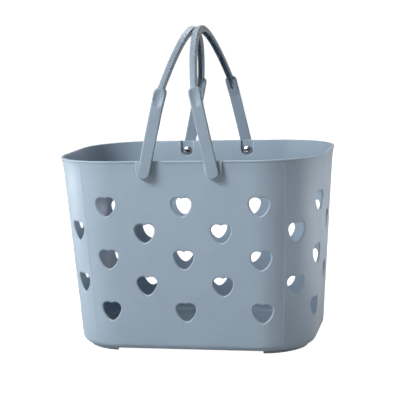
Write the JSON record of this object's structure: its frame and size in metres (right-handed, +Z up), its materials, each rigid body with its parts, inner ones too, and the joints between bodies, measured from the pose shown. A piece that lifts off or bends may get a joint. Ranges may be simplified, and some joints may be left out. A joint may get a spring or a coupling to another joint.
{
  "type": "shower caddy",
  "caption": "Tapered oval plastic tote basket with heart-shaped drain holes, flared rim, corner feet and arched channel-section handles that fold outwards on slotted screws.",
  "frame": {"origin": "centre of the footprint, on the surface that the feet stand on", "axes": "+Z up, +X along the length of the basket, Y across it between the long walls that carry the handles"},
  "size_m": [0.2854, 0.2108, 0.3373],
  "materials": {
    "basket_plastic": "satin moulded polypropylene, pale grey-blue",
    "handle_plastic": "satin moulded polypropylene, pale grey-blue",
    "screw_metal": "bright plated steel with a machine-slotted head"
  },
  "bodies": {
    "basket": {"basket": "basket_plastic"},
    "left_handle": {"handle_left": "handle_plastic", "screw_front_left": "screw_metal", "screw_back_left": "screw_metal"},
    "right_handle": {"handle_right": "handle_plastic", "screw_front_right": "screw_metal", "screw_back_right": "screw_metal"}
  },
  "joints": [
    {"name": "handle_left_swing", "type": "hinge", "parent": "basket", "child": "left_handle", "pos_m": [-0.0355, 0, 0.1919], "axis": [0, -1, 0], "range_deg": [0, 136]},
    {"name": "handle_right_swing", "type": "hinge", "parent": "basket", "child": "right_handle", "pos_m": [0.0355, 0, 0.1919], "axis": [0, 1, 0], "range_deg": [0, 134]}
  ]
}
